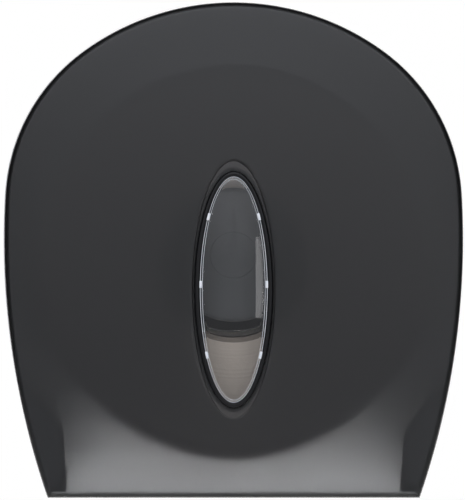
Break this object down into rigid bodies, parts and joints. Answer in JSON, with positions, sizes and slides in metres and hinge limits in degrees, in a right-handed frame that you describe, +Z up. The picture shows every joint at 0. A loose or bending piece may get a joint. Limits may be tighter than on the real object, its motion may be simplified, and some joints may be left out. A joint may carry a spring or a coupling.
{
  "type": "jumbo toilet roll dispenser",
  "caption": "Wall-mounted dispenser for a jumbo toilet roll, with a smoke cover that hinges down, an oval window, a turning hub and a top lock.",
  "frame": {"origin": "on the wall face, at the hub's axis, which is the centre of the four wall screws", "axes": "+X to the right as seen from the front, +Y into the wall, +Z up"},
  "size_m": [0.2664, 0.1379, 0.2862],
  "materials": {
    "base_plastic": "very pale grey, fine matt moulding",
    "cheek_plastic": "charcoal, satin moulding",
    "hub_plastic": "dark grey, satin moulding",
    "steel": "zinc plated, satin",
    "lock_plate": "nickel plated",
    "tissue": "soft white tissue",
    "core_board": "pale brown board",
    "smoke_plastic": "smoke tinted, see-through, satin",
    "bezel_plastic": "black, polished",
    "clear_plastic": "clear, polished"
  },
  "bodies": {
    "base": {"base_plate": "base_plastic", "left_cheek": "cheek_plastic", "right_cheek": "cheek_plastic", "cheek_screws": "steel", "left_tear_bar": "steel", "right_tear_bar": "steel", "left_hinge_pin": "steel", "right_hinge_pin": "steel", "hub_post": "base_plastic", "post_screws": "steel", "hub_washer": "steel", "hub_screw": "steel", "lock_strike": "steel", "strike_screws": "steel"},
    "hub": {"hub": "hub_plastic", "hub_cap": "hub_plastic"},
    "roll": {"paper_roll": "tissue", "roll_core": "core_board"},
    "cover": {"front_cover": "smoke_plastic", "left_hinge_lug": "cheek_plastic", "right_hinge_lug": "cheek_plastic", "window_bezel": "bezel_plastic", "window_lens": "clear_plastic", "lock_barrel": "lock_plate", "lock_nut": "lock_plate"},
    "lock": {"lock_plug": "lock_plate", "lock_cam": "steel", "cam_screw": "steel"}
  },
  "joints": [
    {"name": "cover_hinge", "type": "hinge", "parent": "base", "child": "cover", "pos_m": [0, -0.018, -0.129], "axis": [1, 0, 0], "range_deg": [0, 90]},
    {"name": "lock_turn", "type": "hinge", "parent": "cover", "child": "lock", "pos_m": [0, -0.044, 0.138], "axis": [0, 0, 1], "range_deg": [0, 90]},
    {"name": "roll_spin", "type": "hinge", "parent": "base", "child": "roll", "pos_m": [0, -0.0687, -0.0067], "axis": [0, 1, 0], "continuous": true},
    {"name": "hub_spin", "type": "hinge", "parent": "base", "child": "hub", "pos_m": [0, -0.0687, 0], "axis": [0, 1, 0], "continuous": true}
  ],
  "couplings": [
    {"joint": "hub_spin", "follows": "roll_spin", "ratio": 1.2059}
  ]
}
